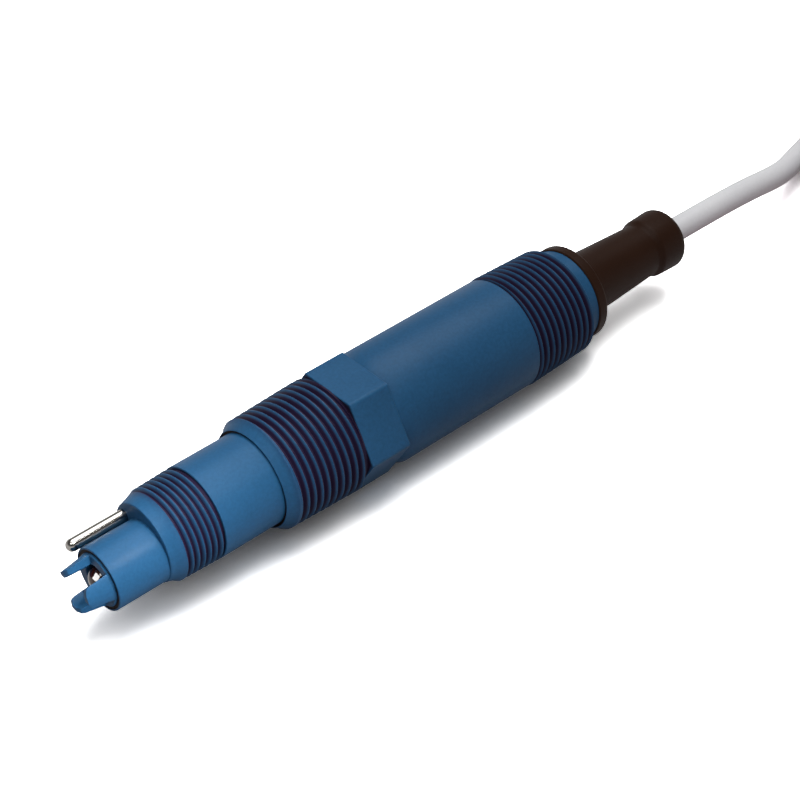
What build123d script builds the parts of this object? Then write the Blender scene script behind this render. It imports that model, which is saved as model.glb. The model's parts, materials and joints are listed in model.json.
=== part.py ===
from build123d import *
import math
import os

# In-line pH electrode with a guarded glass tip, three taper pipe threads, a hexagon and a cable.
# Millimetres. Stations run along the electrode's axis from the tip to the cable,
# with zero at the hexagon's front face. Radial angles are counted from +Y towards +Z.

# Clearances
fit_clearance = 0.1
seal_clearance = 0.04
seat_gap = 0.3

# Guard crown
prong_count = 3
prong_angle = 40.0
prong_length = 6.9
prong_base_width = 6.6
prong_tip_width = 5.0
prong_tip_round = 1.7
prong_base_inset = 0.1
prong_tip_inset = 1.0
prong_bore_margin = 0.3
prong_flare = 0.2
crown_disc_thickness = 2.5
crown_disc_step = 1.2
crown_proud = 0.4
crown_shank_length = 12.0
crown_bore_radius = 4.5
crown_seal_width = 0.95
crown_seal_recess = 0.2

# Nose, which stands off the main axis to leave room for the rod
nose_radius = 8.95
nose_length = 15.3
nose_lip = 0.5
nose_offset = 2.2
nose_edge_chamfer = 0.3

# Steel rod beside the nose
rod_angle = 32.0
rod_radius = 1.75
rod_length = 17.7
rod_to_nose_gap = 0.15
rod_bore_radius = 1.15
rod_tip_wall = 2.5
rod_head_radius = 2.6
rod_head_thickness = 1.5
rod_seal_width = 0.75
rod_seal_thickness = 1.4
temperature_element_length = 8.0

# Taper pipe threads
pipe_taper = 1 / 16
thread_height_ratio = 0.5
small_pitch = 25.4 / 14
large_pitch = 25.4 / 11

# Front housing
shoulder_margin = 0.15
small_lead_length = 3.9
small_thread_length = 12.2
neck_radius = 13.335
neck_length = 18.9
neck_insert_length = 18.0
wiring_bore_depth = 21.6

# Rear housing
mouth_seal_width = 0.75
mouth_seal_depth = 1.8
mouth_seal_recess = 0.35
front_face_width = 0.2
front_lead_length = 2.9
front_wall = 2.815
front_thread_length = 23.5
hex_flat_step = 1.1
hex_length = 13.2
hex_sides = 6
hex_ramp_length = 3.0
barrel_radius = 16.7
barrel_length = 50.1
barrel_wall = 4.7
rear_thread_step = 0.3
rear_thread_length = 21.0
rear_chamfer_length = 1.2
spigot_wall = 1.9
spigot_length = 4.3

# Glass electrode and reference chamber
bulb_radius = 3.6
bulb_recess = 1.6
stem_radius = 2.9
glass_wall = 0.6
stem_cap_length = 3.0
inner_element_radius = 0.5
junction_length = 5.0
junction_gap = 0.2
stem_seal_length = 1.8
bulkhead_plug_length = 4.0
bulkhead_flange_width = 0.9
bulkhead_flange_thickness = 1.5
stem_socket_depth = 2.0
reference_element_radius = 0.8
reference_element_length = 24.0

# Electronics
board_start = 4.0
board_length = 54.0
board_thickness = 1.6
board_height = -3.0
lead_count = 4
lead_radius = 0.6
lead_pitch = 2.1
header_setback = 6.0
header_length = 6.0
header_margin = 1.3
chip_sizes = ((10.0, 6.0, 2.0), (5.0, 4.0, 1.5), (7.0, 8.0, 2.4))
chip_spacing = 4.0
core_count = 5
core_radius = 0.7
core_circle = 2.2
core_length = 8.0

# Cable, clamp, plug and boot
cable_radius = 3.75
clamp_wall = 3.15
clamp_length = 6.0
clamp_slot = 1.5
plug_length = 9.8
boot_flange_overhang = 0.5
boot_flange_thickness = 3.5
boot_flange_round = 0.9
boot_base_radius = 9.5
boot_waist_radius = 8.1
boot_barrel_length = 28.2
boot_ramp_length = 4.0
boot_collar_radius = 9.3
boot_collar_length = 7.8
boot_collar_round = 2.6
boot_grip = 12.0

# Share of the shorter run that a cord's arc takes up on each side of its corner
arc_run_share = 0.45

# The cable's free route from the boot's mouth: along X, along Y, and height above the floor
cable_straight_out = 12.0
cable_route = (
    (36.0, 0.0, 16.4),
    (58.0, 2.2, 11.8),
    (76.0, 9.6, 6.6),
    (90.0, 14.0, 4.95),
    (102.7, 14.6, 4.95),
)

# The put-away length, a hank of two columns of turns, with its ties
hank_middle_from_boot = 144.7
hank_side_shift = -15.4
hank_straight = 72.0
hank_fold_radius = 22.5
hank_columns = 2
hank_layers = 5
tie_thickness = 1.2
tie_width = 8.0
tie_from_middle = 22.0
hank_notch_side = 8.0

# The cable's end inside the hank, from the hank's middle, with the five leads
tail_route = ((-33.0, 14.5), (-17.0, 14.0), (-2.0, 14.0))
tail_height = 4.45
sleeve_radius = 4.4
sleeve_mouth_radius = 3.3
sleeve_length = 14.0
sleeve_overlap = 4.0
end_lead_radius = 0.65
end_lead_circle = 1.8
end_lead_floor = 0.95
end_lead_spread = (3.5, -8.0, -2.0, 8.5, 13.0)
end_lead_reach = 30.0
end_lead_straight = 0.2
end_lead_steps = (0.5, 0.8, 1.0)
end_lead_fan_power = 1.6
end_lead_drop_rate = 1.3
ferrule_radius = 0.95
ferrule_length = 8.0

# Stations along the axis
mouth = -(front_lead_length + front_thread_length)
small_thread_end = mouth - neck_length
small_thread_start = small_thread_end - small_thread_length
shoulder = small_thread_start - small_lead_length
nose_front = shoulder - nose_length
crown_face = nose_front - crown_proud
crown_seat = crown_face + crown_disc_thickness
crown_rear = crown_seat + crown_shank_length
prong_tip = crown_face - prong_length
neck_rear = mouth + neck_insert_length
wall = neck_rear - wiring_bore_depth
barrel_end = hex_length + barrel_length
rear_thread_end = barrel_end + rear_thread_length
spigot_start = rear_thread_end + rear_chamfer_length
rear_face = spigot_start + spigot_length
boot_barrel_start = rear_face + boot_flange_thickness
boot_ramp_start = boot_barrel_start + boot_barrel_length
boot_collar_start = boot_ramp_start + boot_ramp_length
boot_end = boot_collar_start + boot_collar_length

# Sizes that follow from the ones above
taper_slope = pipe_taper / 2
small_thread_radius = neck_radius - small_thread_length * taper_slope
front_thread_radius = neck_radius + front_wall
small_thread_height = small_pitch * thread_height_ratio
large_thread_height = large_pitch * thread_height_ratio
rear_thread_radius = barrel_radius + rear_thread_step
rear_thread_end_radius = rear_thread_radius - rear_thread_length * taper_slope
electronics_bore_radius = barrel_radius - barrel_wall
spigot_radius = electronics_bore_radius + spigot_wall
boot_flange_radius = spigot_radius + boot_flange_overhang
hex_flat_radius = barrel_radius - hex_flat_step
shoulder_radius = nose_offset + nose_radius + shoulder_margin
rod_circle = nose_radius - nose_offset + rod_to_nose_gap + rod_radius
wiring_bore_radius = rod_circle + rod_head_radius + seat_gap
rod_seal_radius = rod_radius + rod_seal_width
seal_seat_radius = nose_radius - nose_lip
crown_disc_radius = seal_seat_radius - crown_seal_width
crown_shank_radius = crown_disc_radius - crown_disc_step
prong_base_outer_radius = crown_disc_radius - prong_base_inset
prong_tip_outer_radius = prong_base_outer_radius - prong_tip_inset
prong_base_inner_radius = crown_bore_radius + prong_bore_margin
prong_tip_inner_radius = prong_base_inner_radius + prong_flare
chamber_radius = crown_shank_radius + fit_clearance
bulkhead_flange_radius = chamber_radius + bulkhead_flange_width
reference_element_circle = (stem_radius + chamber_radius) / 2
mouth_seat_radius = neck_radius + mouth_seal_width
cable_hole_radius = cable_radius + fit_clearance
clamp_radius = cable_hole_radius + clamp_wall
stem_bore_radius = stem_radius - glass_wall
stem_rear = wall - bulkhead_plug_length + stem_socket_depth
bulb_centre = crown_face + bulb_recess
board_top = board_height + board_thickness / 2
board_end = board_start + board_length
cable_entry_start = board_end + core_length
middle = (prong_tip + boot_end) / 2


def crest_radius(station, start, start_radius, slope):
    """Radius of a taper thread's crests at a station."""
    return start_radius + (station - start) * slope


def thread_ridges(start, length, start_radius, slope, pitch, height):
    """Outline of a thread's ridges, as (station, radius) points from one crest to the last root."""
    turns = max(2, round(length / pitch))
    step = length / turns
    points = []
    for turn in range(turns):
        crest = start + turn * step
        root = crest + step / 2
        points.append((crest, crest_radius(crest, start, start_radius, slope)))
        points.append((root, crest_radius(root, start, start_radius, slope) - height))
    return points


front_ridges = thread_ridges(
    -front_thread_length,
    front_thread_length,
    front_thread_radius,
    taper_slope,
    large_pitch,
    large_thread_height,
)
rear_ridges = thread_ridges(
    barrel_end, rear_thread_length, rear_thread_radius, -taper_slope, large_pitch, large_thread_height
)
small_ridges = thread_ridges(
    small_thread_start,
    small_thread_length,
    small_thread_radius,
    taper_slope,
    small_pitch,
    small_thread_height,
)
axis_height = max(radius for _, radius in front_ridges + rear_ridges + [(0, barrel_radius)])


def polar(radius, angle):
    """Point across the axis at a radius and an angle from +Y towards +Z."""
    return radius * math.cos(math.radians(angle)), radius * math.sin(math.radians(angle))


nose_y, nose_z = polar(-nose_offset, rod_angle)
rod_y, rod_z = polar(rod_circle, rod_angle)
on_nose_axis = Pos(0, nose_y, nose_z)
on_rod_axis = Pos(0, rod_y, rod_z)


def turned(points):
    """Solid turned about the X axis from a closed outline of (station, radius) points."""
    return revolve(make_face(Polyline(*points, close=True)), Axis.X)


def rod_along(start, end, radius):
    """Round bar on the X axis between two stations."""
    return turned([(start, 0), (start, radius), (end, radius), (end, 0)])


def ring_along(start, end, inner, outer):
    """Plain ring on the X axis between two stations."""
    return turned([(start, inner), (start, outer), (end, outer), (end, inner)])


def rounded(outline, corner, radius):
    """Outline with the corner nearest to a point rounded."""
    vertex = outline.vertices().sort_by_distance(Vector(*corner))[0]
    return fillet(vertex, radius)


def block(start, end, low_y, high_y, low_z, high_z):
    """Rectangular block between opposite corners."""
    centre = Pos((start + end) / 2, (low_y + high_y) / 2, (low_z + high_z) / 2)
    return centre * Box(end - start, high_y - low_y, high_z - low_z)


def front_housing():
    """Eccentric nose, shoulder, lead cone, small thread and neck, bored for chamber and wiring."""
    body = turned(
        [
            (shoulder, 0),
            (shoulder, shoulder_radius),
            *small_ridges,
            (small_thread_end, neck_radius),
            (neck_rear, neck_radius),
            (neck_rear, wiring_bore_radius),
            (wall, wiring_bore_radius),
            (wall, 0),
        ]
    )
    nose = turned(
        [
            (nose_front, 0),
            (nose_front, nose_radius - nose_edge_chamfer),
            (nose_front + nose_edge_chamfer, nose_radius),
            (shoulder, nose_radius),
            (shoulder, 0),
        ]
    )
    chamber = rod_along(nose_front, wall, chamber_radius)
    chamber += rod_along(nose_front, crown_seat, seal_seat_radius)
    rod_hole = rod_along(shoulder, wall, rod_radius + fit_clearance)
    rod_hole += rod_along(wall - rod_seal_thickness, wall, rod_seal_radius)
    return body + on_nose_axis * nose - on_nose_axis * chamber - on_rod_axis * rod_hole


def rear_housing():
    """Front thread, hexagon with a ramp to the barrel, rear thread and spigot, bored for neck and board."""
    front_face_radius = mouth_seat_radius + front_face_width
    neck_bore_radius = neck_radius + fit_clearance
    body = turned(
        [
            (mouth, mouth_seat_radius),
            (mouth, front_face_radius),
            *front_ridges,
            (0, hex_flat_radius),
            (hex_length, hex_flat_radius),
            (hex_length + hex_ramp_length, barrel_radius),
            *rear_ridges,
            (rear_thread_end, rear_thread_end_radius),
            (spigot_start, spigot_radius),
            (rear_face, spigot_radius),
            (rear_face, electronics_bore_radius),
            (neck_rear, electronics_bore_radius),
            (neck_rear, neck_bore_radius),
            (mouth + mouth_seal_depth, neck_bore_radius),
            (mouth + mouth_seal_depth, mouth_seat_radius),
        ]
    )
    hexagon = Plane.YZ * RegularPolygon(hex_flat_radius, hex_sides, major_radius=False)
    bore = rod_along(0, hex_length, electronics_bore_radius)
    return body + (extrude(hexagon, hex_length) - bore)


def guard_crown():
    """Three tapered prongs on a disc, with the shank that goes into the nose."""
    socket = turned(
        [
            (crown_face, crown_bore_radius),
            (crown_face, crown_disc_radius),
            (crown_seat, crown_disc_radius),
            (crown_seat, crown_shank_radius),
            (crown_rear, crown_shank_radius),
            (crown_rear, crown_bore_radius),
        ]
    )
    band = turned(
        [
            (crown_face, prong_base_inner_radius),
            (prong_tip, prong_tip_inner_radius),
            (prong_tip, prong_tip_outer_radius),
            (crown_face, prong_base_outer_radius),
        ]
    )
    outline = make_face(
        Polyline(
            (crown_face, -prong_base_width / 2),
            (prong_tip, -prong_tip_width / 2),
            (prong_tip, prong_tip_width / 2),
            (crown_face, prong_base_width / 2),
            close=True,
        )
    )
    for side in (-1, 1):
        outline = rounded(outline, (prong_tip, side * prong_tip_width / 2), prong_tip_round)
    blade = extrude(outline, crown_disc_radius)
    for index in range(prong_count):
        angle = prong_angle + index * 360 / prong_count
        socket += band & (Rot(X=angle - 90) * blade)
    return on_nose_axis * socket


def glass_electrode():
    """Blown bulb on a glass stem, hollow and open at the rear."""
    outside = Pos(X=bulb_centre) * Sphere(bulb_radius) + rod_along(bulb_centre, stem_rear, stem_radius)
    inside = Pos(X=bulb_centre) * Sphere(bulb_radius - glass_wall)
    inside += rod_along(bulb_centre, stem_rear, stem_bore_radius)
    return on_nose_axis * (outside - inside)


def chamber_bulkhead():
    """Flanged plug that closes the reference chamber and holds the stem's rear end."""
    front = wall - bulkhead_plug_length
    plug = rod_along(front, wall, crown_shank_radius)
    plug += rod_along(wall, wall + bulkhead_flange_thickness, bulkhead_flange_radius)
    return on_nose_axis * (plug - rod_along(front, stem_rear, stem_radius + fit_clearance))


def reference_element():
    """Silver rod that stands in the reference chamber beside the glass stem."""
    front = wall - bulkhead_plug_length - reference_element_length
    offset_y, offset_z = polar(-reference_element_circle, rod_angle)
    rod = rod_along(front, wall - bulkhead_plug_length, reference_element_radius)
    return on_nose_axis * Pos(0, offset_y, offset_z) * rod


def ground_rod():
    """Steel rod with a round tip, a blind bore for the temperature element and a head inside the wall."""
    tip = shoulder - rod_length
    rod = rod_along(tip + rod_radius, wall, rod_radius) + Pos(X=tip + rod_radius) * Sphere(rod_radius)
    rod += rod_along(wall, wall + rod_head_thickness, rod_head_radius)
    return on_rod_axis * (rod - rod_along(tip + rod_tip_wall, wall + rod_head_thickness, rod_bore_radius))


def rod_wire_start():
    """Station of the temperature element's rear face."""
    return shoulder - rod_length + rod_tip_wall + temperature_element_length


def lead_places():
    """Places of the leads across the axis, in a row just above the board."""
    first = -(lead_count - 1) / 2 * lead_pitch
    height = board_top + lead_radius + seal_clearance
    return [(first + index * lead_pitch, height) for index in range(lead_count)]


def header_front():
    """Station of the front header's wire side."""
    return board_start + header_setback


def sensor_leads():
    """Wires to the front header: straight ones from the bulkhead, and a bent one out of the rod."""
    flange_rear = wall + bulkhead_flange_thickness
    *bulkhead_places, rod_place = lead_places()
    wires = [Pos(0, y, z) * rod_along(flange_rear, header_front(), lead_radius) for y, z in bulkhead_places]
    bend = Vector(wall + rod_head_thickness + lead_radius, rod_y, rod_z)
    level = Vector(board_start, *rod_place)
    rod_wire = on_rod_axis * rod_along(rod_wire_start(), bend.X, lead_radius)
    rod_wire += Pos(bend) * Sphere(lead_radius) + Pos(level) * Sphere(lead_radius)
    rod_wire += extrude(Plane(bend, z_dir=level - bend) * Circle(lead_radius), (level - bend).length)
    rod_wire += Pos(0, *rod_place) * rod_along(board_start, header_front(), lead_radius)
    return Compound([*wires, rod_wire])


def preamp_board():
    """Circuit board, wide enough to stand on its long edges in the round bore."""
    lowest = abs(board_height) + board_thickness / 2
    half_width = math.sqrt(electronics_bore_radius**2 - lowest**2) - fit_clearance
    board_bottom = board_top - board_thickness
    return block(board_start, board_end, -half_width, half_width, board_bottom, board_top)


def board_headers():
    """Wire headers at the board's two ends."""
    reach_y, lead_z = lead_places()[-1]
    reach_y += header_margin
    high_z = lead_z + header_margin
    front = block(header_front(), header_front() + header_length, -reach_y, reach_y, board_top, high_z)
    core_reach = core_circle + header_margin
    rear = block(board_end - header_length, board_end, -core_reach, core_reach, board_top, core_reach)
    return Compound([front, rear])


def board_components():
    """Chips in a row on the board's upper side."""
    chips = []
    station = header_front() + header_length + chip_spacing
    for length, width, height in chip_sizes:
        chips.append(block(station, station + length, -width / 2, width / 2, board_top, board_top + height))
        station += length + chip_spacing
    return Compound(chips)


def cable_cores():
    """Stripped cores between the rear header and the cable's jacket."""
    cores = []
    for index in range(core_count):
        y, z = polar(core_circle, 90 + index * 360 / core_count)
        cores.append(Pos(0, y, z) * rod_along(board_end, cable_entry_start, core_radius))
    return Compound(cores)


def cable_clamp():
    """Split ring that grips the cable in front of the plug."""
    plug_front = rear_face - plug_length
    clamp_front = plug_front - clamp_length
    ring = ring_along(clamp_front, plug_front, cable_hole_radius, clamp_radius)
    return ring - block(clamp_front, plug_front, -clamp_slot / 2, clamp_slot / 2, 0, clamp_radius)


def strain_boot():
    """Rubber boot: flange, tapered barrel, and a ramp to the end collar round the cable."""
    outline = make_face(
        Polyline(
            (rear_face, cable_hole_radius),
            (rear_face, boot_flange_radius),
            (boot_barrel_start, boot_flange_radius),
            (boot_barrel_start, boot_base_radius),
            (boot_ramp_start, boot_waist_radius),
            (boot_collar_start, boot_collar_radius),
            (boot_end, boot_collar_radius),
            (boot_end, cable_hole_radius),
            close=True,
        )
    )
    outline = rounded(outline, (boot_barrel_start, boot_flange_radius), boot_flange_round)
    outline = rounded(outline, (boot_end, boot_collar_radius), boot_collar_round)
    return revolve(outline, Axis.X)


def tube_along(points, radius):
    """Round tube along straight runs joined by tangent arcs, each as large as its runs allow."""
    corners = [Vector(*point) for point in points]
    radii = []
    for before, here, after in zip(corners, corners[1:], corners[2:]):
        turn = math.radians((here - before).get_angle(after - here))
        shorter = min((here - before).length, (after - here).length)
        radii.append(arc_run_share * shorter / math.tan(turn / 2))
    path = FilletPolyline(*corners, radius=radii)
    tube = sweep(Plane(path @ 0, z_dir=path % 0) * Circle(radius), path)
    print("tube radii", [round(value, 1) for value in radii], "length", round(path.length, 1))
    print("tube volume share", round(tube.volume / (math.pi * radius**2 * path.length), 4))
    return tube


# Places of the cable in the finished frame, where the floor is at zero height
boot_mouth_x = boot_end - middle
hank_x = boot_mouth_x + hank_middle_from_boot
cable_diameter = 2 * cable_radius
hank_height = hank_layers * cable_diameter
hank_inner_radius = hank_fold_radius - cable_radius
hank_outer_radius = hank_inner_radius + hank_columns * cable_diameter
in_hank = Pos(hank_x, hank_side_shift, 0)
sleeve_start = tail_route[-1][0] - sleeve_overlap
sleeve_end = sleeve_start + sleeve_length


def free_cable():
    """The cable's stretch between the boot and the hank."""
    start = (boot_mouth_x - boot_grip, 0, axis_height)
    straight = (boot_mouth_x + cable_straight_out, 0, axis_height)
    loose = [(boot_mouth_x + x, y, z) for x, y, z in cable_route]
    return tube_along([start, straight, *loose], cable_radius)


def cable_hank():
    """Outer shape of the folded turns, with room at the floor where the cable comes in."""
    turns = SlotCenterToCenter(hank_straight, 2 * hank_outer_radius)
    turns -= SlotCenterToCenter(hank_straight, 2 * hank_inner_radius)
    ring = in_hank * Pos(Z=tie_thickness) * extrude(turns, hank_height)
    entry_x, _, entry_z = cable_route[-1]
    notch = block(
        hank_x - hank_straight,
        boot_mouth_x + entry_x + seat_gap,
        hank_notch_side,
        hank_side_shift + hank_outer_radius,
        0,
        entry_z + cable_radius + seat_gap,
    )
    return ring - notch


def hank_ties():
    """A strap round each side of the hank."""
    straps = []
    for side in (-1, 1):
        middle_y = side * (hank_inner_radius + hank_outer_radius) / 2
        depth = hank_outer_radius - hank_inner_radius
        strap = Box(tie_width, depth + 2 * tie_thickness, hank_height + 2 * tie_thickness)
        strap -= Box(tie_width, depth, hank_height)
        straps.append(in_hank * Pos(tie_from_middle, middle_y, tie_thickness + hank_height / 2) * strap)
    return Compound(straps)


def cable_tail():
    """The cable's last stretch, along the inside of the hank."""
    return in_hank * tube_along([(x, y, tail_height) for x, y in tail_route], cable_radius)


def end_sleeve():
    """Shrunk sleeve over the jacket's end, from which the leads come out."""
    sleeve = turned(
        [
            (sleeve_start, 0),
            (sleeve_start, sleeve_radius),
            (sleeve_start + sleeve_overlap, sleeve_radius),
            (sleeve_end, sleeve_mouth_radius),
            (sleeve_end, 0),
        ]
    )
    sleeve -= rod_along(sleeve_start, sleeve_start + sleeve_overlap, cable_radius)
    return in_hank * Pos(0, tail_route[-1][1], tail_height) * sleeve


def lead_route(index):
    """Points of one lead from the sleeve's mouth to its ferrule, from the hank's middle."""
    across, up = polar(end_lead_circle, 90 + index * 360 / len(end_lead_spread))
    start_y = tail_route[-1][1] + across
    start_z = tail_height + up
    straight_x = sleeve_end + end_lead_straight * end_lead_reach
    points = [(sleeve_end, start_y, start_z), (straight_x, start_y, start_z)]
    for share in end_lead_steps:
        bent_share = (share - end_lead_straight) / (1 - end_lead_straight)
        fan = bent_share**end_lead_fan_power
        drop = min(1.0, end_lead_drop_rate * bent_share)
        y = start_y + fan * (end_lead_spread[index] - start_y)
        z = start_z + drop * (end_lead_floor - start_z)
        points.append((sleeve_end + share * end_lead_reach, y, z))
    return points


def lead(index):
    """One of the leads that come out of the sleeve."""
    return in_hank * tube_along(lead_route(index), end_lead_radius)


def lead_ferrules():
    """Crimped ferrules, one at the end of each lead and in line with it."""
    ferrules = []
    for index in range(len(end_lead_spread)):
        before, end = (Vector(*point) for point in lead_route(index)[-2:])
        base = Plane(end, z_dir=end - before)
        ferrules.append(in_hank * extrude(base * Circle(ferrule_radius), ferrule_length))
    return Compound(ferrules)


def on_nose_ring(start, end, inner, outer):
    """Ring about the nose's own axis."""
    return on_nose_axis * ring_along(start, end, inner, outer)


# Pieces about the electrode's axis, lifted onto the floor with the electrode's middle over the origin
lift = Pos(-middle, 0, axis_height)
electrode = {
    "front_housing": front_housing(),
    "rear_housing": rear_housing(),
    "guard_crown": guard_crown(),
    "crown_seal": on_nose_ring(
        nose_front + crown_seal_recess,
        crown_seat,
        crown_disc_radius + seal_clearance,
        seal_seat_radius - seal_clearance,
    ),
    "glass_electrode": glass_electrode(),
    "stem_cap": on_nose_axis
    * rod_along(stem_rear - stem_cap_length, stem_rear, stem_bore_radius - seal_clearance),
    "inner_element": on_nose_axis
    * rod_along(bulb_centre, stem_rear - stem_cap_length, inner_element_radius),
    "reference_junction": on_nose_ring(
        bulb_centre + bulb_radius + junction_gap,
        bulb_centre + bulb_radius + junction_gap + junction_length,
        stem_radius + seal_clearance,
        crown_bore_radius - seal_clearance,
    ),
    "stem_seal": on_nose_ring(
        crown_rear - stem_seal_length,
        crown_rear,
        stem_radius + seal_clearance,
        crown_bore_radius - seal_clearance,
    ),
    "reference_element": reference_element(),
    "chamber_bulkhead": chamber_bulkhead(),
    "ground_rod": ground_rod(),
    "rod_seal": on_rod_axis
    * ring_along(
        wall - rod_seal_thickness, wall, rod_radius + seal_clearance, rod_seal_radius - seal_clearance
    ),
    "temperature_element": on_rod_axis
    * rod_along(shoulder - rod_length + rod_tip_wall, rod_wire_start(), rod_bore_radius - seal_clearance),
    "housing_seal": ring_along(
        mouth + mouth_seal_recess,
        mouth + mouth_seal_depth,
        neck_radius + seal_clearance,
        mouth_seat_radius - seal_clearance,
    ),
    "sensor_leads": sensor_leads(),
    "preamp_board": preamp_board(),
    "board_headers": board_headers(),
    "board_components": board_components(),
    "cable_cores": cable_cores(),
    "cable_clamp": cable_clamp(),
    "rear_plug": ring_along(
        rear_face - plug_length, rear_face, cable_hole_radius, electronics_bore_radius - fit_clearance
    ),
    "cable_entry": rod_along(cable_entry_start, boot_end - boot_grip, cable_radius),
    "strain_boot": strain_boot(),
}

# Pieces of the cable, already in the finished frame
cord = {
    "cable": free_cable(),
    "cable_hank": cable_hank(),
    "hank_ties": hank_ties(),
    "cable_tail": cable_tail(),
    "end_sleeve": end_sleeve(),
    "lead_ferrules": lead_ferrules(),
}
for number in range(len(end_lead_spread)):
    cord[f"lead_{number + 1}"] = lead(number)

os.makedirs("parts", exist_ok=True)
for name, solid in electrode.items():
    export_step(lift * solid, f"parts/{name}.step")
for name, solid in cord.items():
    export_step(solid, f"parts/{name}.step")
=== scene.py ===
import json
import logging
import math
from dataclasses import dataclass
from enum import Enum
from functools import cached_property
from typing import Callable, Iterable, Sequence, Union

import bpy
import numpy as np
from mathutils import Matrix, Vector


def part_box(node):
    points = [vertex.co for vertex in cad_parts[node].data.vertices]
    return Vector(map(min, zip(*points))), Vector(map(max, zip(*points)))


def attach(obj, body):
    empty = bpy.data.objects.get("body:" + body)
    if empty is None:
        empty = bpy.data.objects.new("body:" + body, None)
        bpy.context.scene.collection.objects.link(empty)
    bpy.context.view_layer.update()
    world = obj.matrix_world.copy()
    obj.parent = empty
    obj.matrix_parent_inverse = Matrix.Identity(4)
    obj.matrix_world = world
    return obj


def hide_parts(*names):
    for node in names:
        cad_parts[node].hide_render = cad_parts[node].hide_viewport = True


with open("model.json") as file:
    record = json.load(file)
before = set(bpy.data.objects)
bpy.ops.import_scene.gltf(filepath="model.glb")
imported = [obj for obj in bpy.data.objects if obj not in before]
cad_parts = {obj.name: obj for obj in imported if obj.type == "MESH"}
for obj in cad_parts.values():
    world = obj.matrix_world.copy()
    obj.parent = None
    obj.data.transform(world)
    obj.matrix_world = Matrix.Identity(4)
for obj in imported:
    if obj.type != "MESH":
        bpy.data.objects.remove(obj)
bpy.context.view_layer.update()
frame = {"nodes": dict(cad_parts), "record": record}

LOG = logging.getLogger("ph_electrode")
MM = 0.001
BODY = "root"
WELD = 2e-6
FULL_TURN = 2 * math.pi
SMOOTH_ANGLE = math.radians(32)

Number = Union[float, np.ndarray]
Point2 = tuple[float, float]
Point3 = tuple[float, float, float]
Profile = list[Point2]
Colour = tuple[float, float, float, float]


class Slot(Enum):
    """Material slots of the record that new pieces take their finish from."""

    HOUSING = "housing_plastic"
    SEAL = "seal_rubber"
    GLASS = "electrode_glass"
    ROD = "rod_steel"
    JUNCTION = "junction_ceramic"
    SILVER = "silver_wire"
    INNER = "inner_plastic"
    WIRE = "wire_insulation"
    BOARD = "board_laminate"
    CHIP = "component_black"
    BOOT = "boot_rubber"
    CABLE = "cable_jacket"
    TIE = "tie_strap"
    SLEEVE = "sleeve_black"
    LEAD_CLEAR = "lead_clear"
    LEAD_BLACK = "lead_black"
    LEAD_RED = "lead_red"
    LEAD_WHITE = "lead_white"
    LEAD_GREEN = "lead_green"
    FERRULE = "ferrule_tin"


class Attribute(Enum):
    """Vertex attributes that finishes read from their piece."""

    GROOVE = "groove"


def smoothstep(value: Number) -> Number:
    """Ease from 0 to 1 as a value goes from 0 to 1."""
    share = np.clip(value, 0.0, 1.0)
    return share * share * (3.0 - 2.0 * share)


def between(start: Number, end: Number, share: Number) -> Number:
    """Value at a share of the way from a start to an end."""
    return start + (end - start) * share


def srgb(red: int, green: int, blue: int) -> Colour:
    """Linear colour, with full alpha, of a display colour.

    Args:
        red: Red from 0 to 255.
        green: Green from 0 to 255.
        blue: Blue from 0 to 255.

    Returns:
        Red, green, blue and alpha as linear values.
    """
    linear = []
    for part in (red, green, blue):
        share = part / 255
        linear.append(share / 12.92 if share <= 0.04045 else ((share + 0.055) / 1.055) ** 2.4)
    return (*linear, 1.0)


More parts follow.
